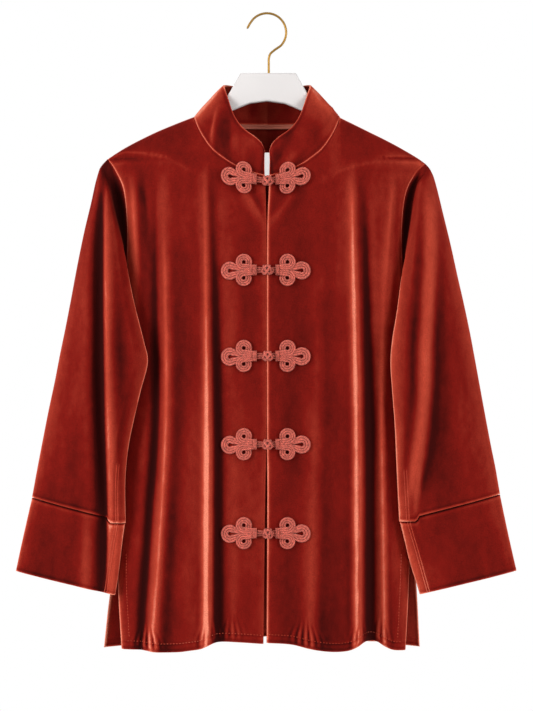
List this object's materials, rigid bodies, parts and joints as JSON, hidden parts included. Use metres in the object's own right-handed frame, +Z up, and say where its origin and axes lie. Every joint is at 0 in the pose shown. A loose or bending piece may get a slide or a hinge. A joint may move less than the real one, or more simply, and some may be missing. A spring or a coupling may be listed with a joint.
{
  "type": "mandarin-collar jacket on hanger",
  "caption": "Velvet jacket with a stand collar, frog fastenings down the front, wide cuffs and side vents, hung flat on a hanger with a wire hook.",
  "frame": {"origin": "inside top of the hanger's hook, where a rod carries it", "axes": "+X to the wearer's left, +Y to the wearer's back, +Z up; the fronts face -Y"},
  "size_m": [0.6484, 0.0981, 0.8284],
  "materials": {
    "velvet": "rust-red cut velvet with a soft sheen",
    "braid": "flat woven braid, salmon rust",
    "tape": "narrow woven tape",
    "label": "plain white woven strip",
    "hanger_white": "smooth satin white",
    "hook_brass": "polished brass wire"
  },
  "bodies": {
    "root": {"front_right": "velvet", "front_left": "velvet", "back": "velvet", "sleeve_right": "velvet", "sleeve_left": "velvet", "cuff_right": "velvet", "cuff_left": "velvet", "collar": "velvet", "frog_1_knot": "braid", "frog_1_loop": "braid", "frog_2_knot": "braid", "frog_2_loop": "braid", "frog_3_knot": "braid", "frog_3_loop": "braid", "frog_4_knot": "braid", "frog_4_loop": "braid", "frog_5_knot": "braid", "frog_5_loop": "braid", "neck_tape": "tape", "neck_label": "label", "hanger_body": "hanger_white", "hanger_hook": "hook_brass"}
  },
  "joints": []
}
